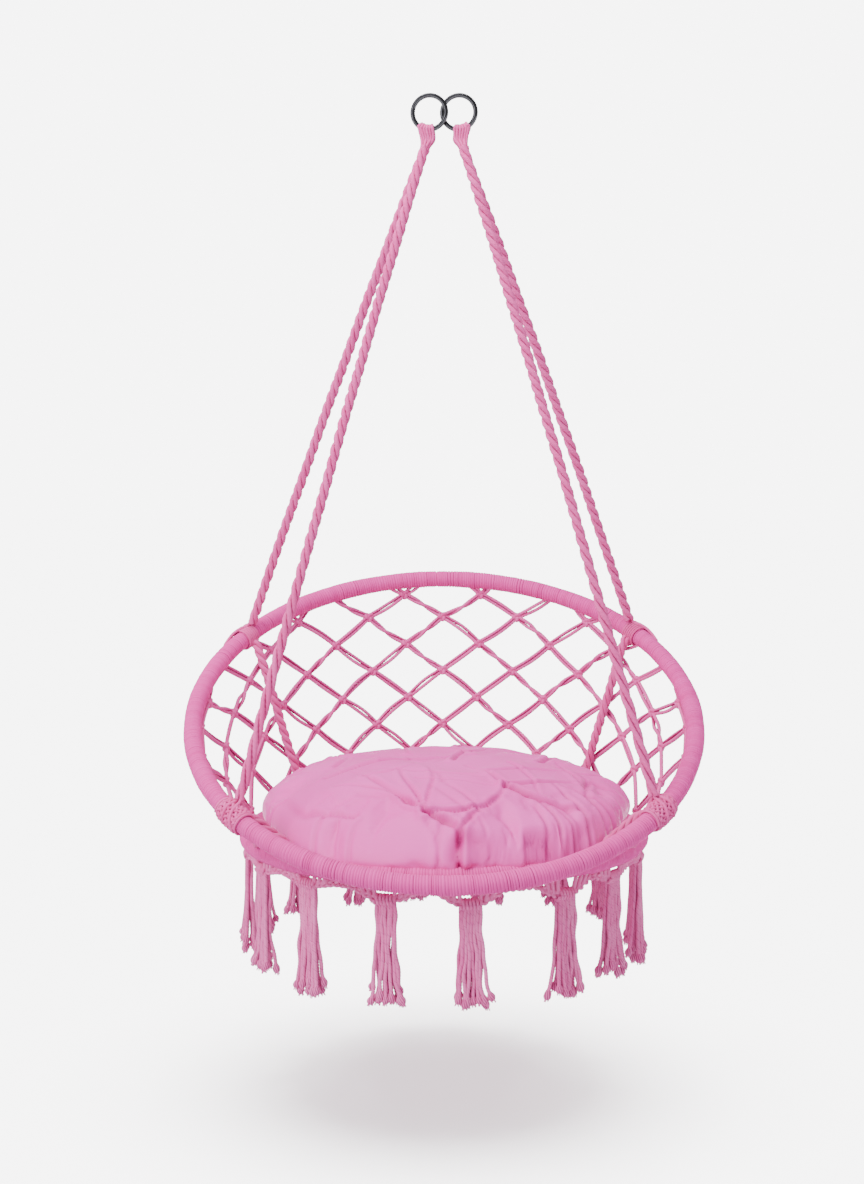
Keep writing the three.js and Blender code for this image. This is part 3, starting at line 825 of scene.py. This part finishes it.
def strands_of(column):
    """The pairs of cords that one column's knots send up and down to its neighbours."""
    angle = column_angle(column)
    half = KNOT_PITCH / 2
    strands = []
    for side in (-1, 1):
        next_angle = column_angle(column + side)
        neighbours = knot_heights(column + side)
        for level, height in knot_heights(column):
            knot = on_wall(angle, height)
            above = [h for at, h in neighbours if abs(at - level - half) < 0.001]
            below = [h for at, h in neighbours if abs(at - level + half) < 0.001]
            if side > 0:
                strands.extend((knot, on_wall(next_angle, h)) for h in above + below)
            if not above:
                reach = min(1, (on_hoop(angle)[2] - height) / half)
                strands.append((knot, on_hoop(angle + side * 360 / COLUMN_COUNT * reach)))
            if not below:
                strands.append((knot, seat_knot(next_angle)))
        if column % 2 == 0 and not neighbours:
            strands.append((seat_knot(angle), hoop_knot(next_angle)))
    return strands


def cord_pair(soup, start, end):
    """Two cords that leave a knot together, part a little in the middle and close again."""
    length = norm(end - start)
    t = np.linspace(0, 1, max(12, int(length / 0.0014)))
    out = out_from_axis((start + end) / 2)
    beside = unit(np.cross(unit(end - start), out))
    lean = uniform(-0.4, 0.4)
    flat = beside * cos(lean) + out * sin(lean)
    slack = uniform(0.001, 0.003) * (length / 0.09)
    sag = uniform(-1.0, 1.0) * 0.0042 * (length / 0.09)
    arch = np.sin(pi * t)[:, None]
    base = start + t[:, None] * (end - start) + arch * (slack * 0.4 * out + sag * beside)
    spread = NET_CORD * (0.72 + uniform(0.05, 0.48) * np.sin(pi * t) ** 2)
    twist = random.choice([0.0, 0.0, pi]) * smooth_step(t * 1.3 - 0.15)
    for k in (-1, 1):
        wide, deep = k * spread * np.cos(twist), k * spread * np.sin(twist)
        cord = base + wide[:, None] * flat + deep[:, None] * out
        soup.tube(cord, NET_CORD, core=base if k < 0 else None)


def net_knot(soup, at, radius):
    """A small overhand knot: a trefoil pressed flat on the wall."""
    out = out_from_axis(at)
    side = unit(np.cross([0, 0, 1], out))
    up = np.cross(out, side)
    t = np.linspace(0, tau, 56, endpoint=False) + random.random() * 6
    scale = radius / KNOT_RADIUS * 0.0021
    x = (np.sin(t) + 2 * np.sin(2 * t)) * scale
    y = (np.cos(t) - 2 * np.cos(2 * t)) * scale
    z = -np.sin(3 * t) * scale * 1.2
    path = at + x[:, None] * side + y[:, None] * up + z[:, None] * out
    soup.tube(path, NET_CORD * 1.05 * radius / KNOT_RADIUS, closed=True, guide=out)


def net_panels():
    for index in range(COLUMN_COUNT // COLUMNS_PER_PANEL):
        soup = Soup()
        for column in range(index * COLUMNS_PER_PANEL, (index + 1) * COLUMNS_PER_PANEL):
            angle = column_angle(column)
            for start, end in strands_of(column):
                cord_pair(soup, start, end)
            knots = [on_wall(angle, height) for _, height in knot_heights(column)]
            if column % 2 == 0:
                knots.append(seat_knot(angle))
            elif not knots:
                knots.append(hoop_knot(angle))
            for at in knots:
                above = distance_to(HOOP, at) - cover_radius(angle)
                below = distance_to(SEAT_RING, at) - WRAP_RADIUS
                net_knot(soup, at, min(KNOT_RADIUS, max(min(above, below), 0.004)))
        soup.piece(f"net_panel_{index + 1:02d}", "cords", "net_cord")


# ---- seat net
SEAT_NET_LEVELS = (0.022, 0.075, 0.130, 0.185, 0.236, 0.284)


def seat_net():
    """A diamond web under the cushion, with a lashing at each crossing and a coil at its middle."""
    soup = Soup()
    count = 24
    reach = SEAT_NET_LEVELS[-1]

    def at(level, step):
        r = SEAT_NET_LEVELS[level]
        outwards, _ = level_axes(360 / count * (step + 0.5 * (level % 2)))
        drop = 0.008 + 0.010 * (1 - (r / reach) ** 2)
        return SEAT_MIDDLE + r * outwards - np.array([0, 0, drop])

    for level in range(len(SEAT_NET_LEVELS) - 1):
        for step in range(0, count, 2 if level == 0 else 1):
            for lean in (0, 1):
                start, end = at(level, step), at(level + 1, step + lean - (level + 1) % 2)
                t = np.linspace(0, 1, 36)[:, None]
                sag = -0.0012 * np.sin(pi * t) * np.array([0, 0, 1])
                soup.tube(start + t * (end - start) + sag, SEAT_NET_CORD)
            if level:
                lashing(soup, at(level, step), at(level, step) - SEAT_MIDDLE, 0.0021, 0.0014, 2.0)
    spiral = np.linspace(0, tau * 7, 400)
    r = 0.002 + 0.0032 * spiral / tau
    path = np.stack([r * np.cos(spiral), r * np.sin(spiral), np.full_like(r, -0.0172)], -1)
    soup.tube(SEAT_MIDDLE + path, 0.8 * SEAT_NET_CORD, lay=0.01, guide=np.array([0, 0, 1]))
    soup.piece("seat_net", "cords", "net_cord")


# ---- cushion
CUSHION_RADIUS = 0.284
CUSHION_INSET = 0.007
CUSHION_VOXEL = 0.0052
BULGE_LIMIT = 0.006
LIP_DRAPE = (0, -0.030, -0.017)  # how far the front lip is drawn out over the seat ring
# Radius as a share of the full one, then height above the seat ring's middle.
CUSHION_PROFILE = [(0, -0.0035), (0.8, -0.0035), (0.9, 0.003), (0.965, 0.014), (1, 0.036), (0.955, 0.062),
                   (0.8, 0.088), (0.5, 0.108), (0.2, 0.116), (0, 0.117)]


def cushion_blank():
    """The CAD cushion's shape, with rounder shoulders, a little smaller than it."""
    outline = smooth_path([(share * CUSHION_RADIUS, height) for share, height in CUSHION_PROFILE], 60)
    outline = outline[1:-1]
    outline = outline + unit(np.array([0, 0.05]) - outline) * CUSHION_INSET
    rows, sides = len(outline), 120
    radius = np.maximum(outline[:, :1], 0.004)
    a = tau * np.arange(sides) / sides
    height = np.broadcast_to(outline[:, 1:], (rows, sides))
    points = np.stack([radius * np.cos(a), radius * np.sin(a), height], -1).reshape(-1, 3) + SEAT_MIDDLE
    caps = [list(range(sides))[::-1], list(range((rows - 1) * sides, rows * sides))]
    data = bpy.data.meshes.new("cushion_cover")
    data.from_pydata(points.tolist(), [], tube_quads(rows, sides).tolist() + caps)
    data.update()
    return add_object("cushion_cover", data)


def apply_modifier(piece, name):
    bpy.context.view_layer.objects.active = piece
    bpy.ops.object.modifier_apply(modifier=name)


def of_vertices(piece, key="co"):
    flat = np.empty(len(piece.data.vertices) * 3)
    piece.data.vertices.foreach_get(key, flat)
    return flat.reshape(-1, 3)


def set_coordinates(piece, points):
    piece.data.vertices.foreach_set("co", points.astype(np.float32).ravel())
    piece.data.update()


def simulate_cushion(piece):
    """Blows the cover up against its own stiffness, and keeps each point near where it began."""
    rest = of_vertices(piece)
    cloth = piece.modifiers.new("cloth", "CLOTH")
    settings = cloth.settings
    settings.quality = 5
    settings.mass = 0.4
    settings.use_pressure = True
    settings.uniform_pressure_force = 4
    settings.shrink_min = -0.06
    settings.tension_stiffness = 12
    settings.compression_stiffness = 12
    settings.bending_stiffness = 0.3
    settings.effector_weights.gravity = 0
    steps = 20
    cloth.point_cache.frame_start = 1
    cloth.point_cache.frame_end = steps
    for step in range(1, steps + 1):
        scene.frame_set(step)
    apply_modifier(piece, "cloth")
    scene.frame_set(1)
    moved = of_vertices(piece) - rest
    size = norm(moved, axis=1, keepdims=True)
    moved *= np.minimum(1, BULGE_LIMIT / np.maximum(size, 1e-9))
    set_coordinates(piece, rest + moved)


# Creases in the cover: points in plan as shares of the radius, then depth and width in millimetres.
CREASES = [
    ([(-0.10, -0.88), (-0.32, -0.62), (-0.56, -0.48)], 5.0, 9),
    ([(-0.10, -0.88), (-0.20, -0.52), (-0.24, -0.30)], 4.0, 8),
    ([(-0.10, -0.88), (-0.06, -0.50), (-0.08, -0.30)], 3.0, 8),
    ([(-0.10, -0.88), (0.04, -0.94), (0.07, -0.97)], 7.0, 9),
    ([(-0.10, -0.88), (0.10, -0.86), (0.26, -0.72), (0.31, -0.58)], 5.0, 8),
    ([(0.31, -0.58), (0.20, -0.36), (0.12, -0.22)], 4.0, 8),
    ([(0.31, -0.60), (0.50, -0.66), (0.72, -0.62)], 8.0, 11),
    ([(0.31, -0.58), (0.52, -0.44), (0.70, -0.30)], 3.5, 9),
    ([(0.07, -0.97), (0.03, -1.00), (-0.03, -1.02)], 7.0, 12),
    ([(0.07, -0.97), (0.20, -0.96), (0.38, -0.93)], 4.5, 8),
    ([(0.07, -0.97), (0.14, -0.88), (0.20, -0.82)], 3.5, 7),
    ([(0.40, -0.90), (0.60, -0.80), (0.76, -0.62)], 5.0, 10),
    ([(-0.45, -0.80), (-0.72, -0.62), (-0.86, -0.36)], 3.5, 12),
    ([(-0.62, -0.30), (-0.30, -0.10), (0.02, -0.02)], 3.0, 12),
    ([(0.16, 0.10), (0.02, 0.32), (-0.22, 0.46)], 4.0, 12),
    ([(0.05, -0.10), (0.10, 0.10), (0.24, 0.30)], 4.0, 9),
    ([(0.52, 0.00), (0.60, 0.26), (0.52, 0.52)], 4.0, 12),
    ([(-0.52, 0.22), (-0.62, 0.46), (-0.44, 0.72)], 4.0, 12),
]


# How far pleats run in from the rim, how deep they are and how far apart, each as a range.
LONG_PLEATS = ((0.12, 0.30), (2.0, 5.0), (0.07, 0.16))
SHORT_PLEATS = ((0.05, 0.13), (1.0, 2.6), (0.2, 0.5))


def rim_pleats():
    """Short creases that run in from the cushion's rim, closer together and longer on its right."""
    pleats = []
    angle = 0.0
    while angle < tau:
        lengths, depths, gaps = LONG_PLEATS if cos(angle) > 0.35 else SHORT_PLEATS
        start = uniform(0.96, 1.02)
        end = start - uniform(*lengths)
        bend = uniform(-0.12, 0.12)
        turns = ((start, 0), ((start + end) / 2, 0.3 * bend), (end, bend))
        corners = [(r * cos(angle + a), r * sin(angle + a)) for r, a in turns]
        pleats.append((corners, uniform(*depths), uniform(7, 12)))
        angle += uniform(*gaps)
    return pleats


def stray_creases():
    """Light creases from sitting and folding, at all angles over the upper side."""
    creases = []
    for _ in range(34):
        at = 0.85 * sqrt(random.random()) * np.exp(1j * uniform(0, tau))
        reach = uniform(0.12, 0.34) * np.exp(1j * uniform(0, tau))
        places = (at - reach, at + 0.25j * uniform(-0.5, 0.5) * reach, at + reach)
        corners = [(c.real, c.imag) for c in places]
        creases.append((corners, uniform(1.4, 3.4), uniform(6, 13)))
    return creases


def crease_cover(piece):
    """Presses the creases into the cover's upper side, each a sharp valley beside a soft ridge.

    It also marks them for shade that the material paints into them, adds broad swells and drapes the front
    lip."""
    points, normals = of_vertices(piece), of_vertices(piece, "normal")
    plan = (points - SEAT_MIDDLE)[:, :2] / CUSHION_RADIUS
    upper = smooth_step((points[:, 2] - SEAT_MIDDLE[2] - 0.012) / 0.03)
    offset = np.zeros(len(points))
    crease_shade = np.zeros(len(points))
    for corners, depth, width in CREASES + rim_pleats() + stray_creases():
        line = smooth_path([np.array([*c, 0.0]) for c in corners], 30)[:, :2]
        near = np.flatnonzero(norm(plan - line.mean(0), axis=1) < 0.75)
        gap = norm(plan[near, None, :] - line[None], axis=2)
        nearest = gap.argmin(1)
        share = nearest / (len(line) - 1)
        ahead = unit(np.gradient(line, axis=0))[nearest]
        away = plan[near] - line[nearest]
        side = ahead[:, 0] * away[:, 1] - ahead[:, 1] * away[:, 0]
        distance = gap[np.arange(len(near)), nearest] * CUSHION_RADIUS * 1000 / width
        fade = np.clip(1.03 - share, 0, 1) ** 0.4 * (0.55 + 0.45 * np.exp(-((share - 0.3) ** 2) * 3))
        fade = fade * upper[near]
        valley = -np.exp(-((distance * 2.1) ** 2))
        ridge = np.where(side > 0, 1.0, 0.45) * distance * np.exp(1 - (distance * 1.15) ** 2)
        offset[near] += depth / 1000 * fade * (1.4 * valley + ridge)
        # Painted shade: how darkly the cushion material paints each crease, by its depth.
        crease_shade[near] += np.exp(-((distance * 2.6) ** 2)) * fade * depth / 7
    swells = 0.0016 * np.sin(plan[:, 0] * 9 + 2 * np.sin(plan[:, 1] * 6)) * upper
    swells += 0.0011 * np.sin(plan[:, 1] * 17 + 3 * np.sin(plan[:, 0] * 7 + 1)) * upper
    offset = np.clip(offset, -0.014, 0.009) + swells
    points = points + offset[:, None] * normals
    height = points[:, 2] - SEAT_MIDDLE[2]
    front = smooth_step((-plan[:, 1] - 0.3) / 0.5) * np.exp(-(((height - 0.028) / 0.026) ** 2))
    points = points + front[:, None] * np.array(LIP_DRAPE)
    set_coordinates(piece, points)
    # The crease attribute tells the cushion material where to paint shade.
    attribute = piece.data.attributes.new("crease", "FLOAT", "POINT")
    attribute.data.foreach_set("value", np.clip(crease_shade, 0, 1).astype(np.float32))


def cushion():
    piece = cushion_blank()
    remesh = piece.modifiers.new("remesh", "REMESH")
    remesh.mode = "VOXEL"
    remesh.voxel_size = CUSHION_VOXEL
    apply_modifier(piece, "remesh")
    simulate_cushion(piece)
    smooth = piece.modifiers.new("subdivision", "SUBSURF")
    smooth.levels = 1
    smooth.render_levels = 1
    apply_modifier(piece, "subdivision")
    crease_cover(piece)
    piece.data.shade_smooth()
    piece.data.materials.append(LOOKS["cushion_fabric"])
    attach(piece, "cushion")
    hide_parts("cushion")


# ---- fringe
def tassel_angle(index):
    return TASSEL_FIRST + 360 * index / TASSEL_COUNT + TASSEL_STRAY[index % TASSEL_COUNT]


def tassel_cord(top, foot, sideways, count=110):
    """One hanging cord: straight out of the knot, in slow waves, and flaring near its foot."""
    t = np.linspace(0, 1, count)
    flare = 0.30 * t + 0.70 * t**4
    path = top + flare[:, None] * (foot - top)
    path[:, 2] = top[2] + t * (foot[2] - top[2])
    waves = 0.0016 * np.sin(tau * (t * uniform(1.0, 1.9) + random.random()))
    waves += 0.0008 * np.sin(tau * (t * 3.3 + random.random()))
    return path + (waves * smooth_step(t * 5))[:, None] * sideways


def frayed_end(soup, path):
    """The end of a cord, brushed out into a small round tuft with a few loose yarns."""
    end = path[-1]
    down = unit(path[-1] - path[-8])
    t = np.linspace(0, 1, 12)
    long = uniform(0.011, 0.016)
    tuft = end + (t * long - 0.005)[:, None] * down
    swell = FRINGE_CORD * (0.85 + 1.05 * np.sin(2.2 * t) * (1 - t**6))
    soup.tube(tuft, swell, sides=16, lobes=8, lay=0.09, depth=0.3)
    for k in range(6):
        a = tau * k / 6 + random.random()
        sideways = np.array([cos(a), sin(a), 0]) * uniform(0.4, 1.0)
        corners = [end + sideways * 0.0014, end + down * long * 0.4 + sideways * 0.0032,
                   end + down * (long - 0.003) + sideways * 0.0048]
        thins = np.linspace(0.0012, 0.0008, 7)
        soup.tube(smooth_path(corners, 7), thins, sides=4, lobes=2, lay=0.1, depth=0)


def tassels():
    """Two rows of cords hang from each knot. The inner row's two end cords are pieces of their own."""
    for index in range(TASSEL_COUNT):
        outwards, along = level_axes(tassel_angle(index))
        below = np.array([0, 0, WRAP_RADIUS + GAP + SWAG_DEPTH])
        head = on_seat_ring(tassel_angle(index)) - below + [0, 0, 0.002 - SWAG_HANG[index]]
        foot_height = head[2] + SWAG_HANG[index] - TASSEL_LENGTH - 0.006 + TASSEL_TRIM[index]
        sway = uniform(-0.003, 0.003)
        soup = Soup()
        declared = []
        for k in range(CORDS_PER_TASSEL):
            row, slot = divmod(k, CORDS_PER_TASSEL // 2)
            place = (slot - 3 + 0.4 * row) / 3
            depth = -0.0036 if row == 0 else 0.0036
            top = head + along * place * TASSEL_HALF_WIDTH + outwards * depth * 0.7
            foot = head + along * (place * uniform(0.016, 0.028) + sway)
            foot = foot + outwards * (depth * uniform(1.0, 2.8))
            foot[2] = foot_height + uniform(0.011, 0.028)
            path = tassel_cord(top, foot, along * 0.8 + outwards * uniform(-0.6, 0.6))
            own = Soup() if k in (0, 6) else soup
            own.tube(path, FRINGE_CORD, sides=10, lay=0.013, depth=0.2)
            frayed_end(soup, path)
            if own is not soup:
                declared.append((own, path))
        name = f"fringe_tassel_{index + 1:02d}"
        soup.piece(name, "cords", "fringe_cord")
        for (own, path), letter in zip(declared, "ab"):
            cord = own.piece(name, f"cord_{letter}", "fringe_cord", [])
            declare_cord(path)


def swags():
    """At each tassel a scoop of three braided cords, hitched up to the seat ring at its sides."""
    high = WRAP_RADIUS + 0.0034
    up_axis = np.array([0, 0, 1.0])
    for quarter, side in enumerate(("front", "right", "rear", "left")):
        soup = Soup()
        for here in range(quarter * TASSEL_COUNT // 4, (quarter + 1) * TASSEL_COUNT // 4):
            low = WRAP_RADIUS + GAP + SWAG_DEPTH + SWAG_HANG[here] - 0.003
            before, angle, after = (tassel_angle(index) for index in (here - 1, here, here + 1))
            outwards, tangent = level_axes(angle)
            at = np.linspace((before + angle) / 2, (angle + after) / 2, 110)
            away = np.abs(at - angle) / 10.5
            drop = high + (low - high) * (1 - smooth_step((away - 0.25) / 0.75))
            line = np.array([on_seat_ring(a) for a in at]) - drop[:, None] * up_axis
            across, _ = directions_across(line, guide=up_axis)
            run = np.radians(at - angle) * SEAT_RADIUS
            for strand in range(3):
                phase = tau * (run / 0.030 + strand / 3)
                wide, deep = 0.0038 * np.sin(phase), 0.0024 * np.sin(2 * phase)
                braid = line + wide[:, None] * up_axis + deep[:, None] * across
                soup.tube(braid, SWAG_CORD, lay=0.02, depth=0.12, guide=up_axis)
            for offset in (-6.0, -4.4, -2.8, 2.8, 4.4, 6.0):
                top = on_seat_ring(angle + offset * 1.15) - up_axis * (WRAP_RADIUS - 0.002)
                bottom = on_seat_ring(angle + offset * 0.9)
                bottom = bottom - up_axis * np.interp(angle + offset * 0.9, at, drop)
                out = outwards * 0.0022
                corners = [top + out * 2.2, (top + bottom) / 2 + out * 1.4, bottom + out]
                soup.tube(smooth_path(corners, 14), 0.0034, lay=0.02, depth=0.12)
            head = on_seat_ring(angle) - (low + 0.002) * up_axis
            for shift in np.linspace(-TASSEL_HALF_WIDTH, TASSEL_HALF_WIDTH, 6):
                lashing(soup, head + tangent * shift, tangent, 0.0044, 0.0023, 1.0)
        soup.piece(f"fringe_swag_{side}", "braid", "fringe_cord")


# ---- the whole chair
camera()
studio()
suspension_ropes()
support_ropes()
tassels()
hanging_rings()
rope_loops()
wound_hoop("upper_hoop", HOOP, 91.5)
wound_hoop("seat_ring", SEAT_RING, 93)
front_hitches()
rear_hitches()
net_panels()
seat_net()
cushion()
swags()
tube_look = tube_material()
for node in ("upper_hoop_tube", "seat_ring_tube"):
    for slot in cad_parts[node].material_slots:
        slot.material = tube_look
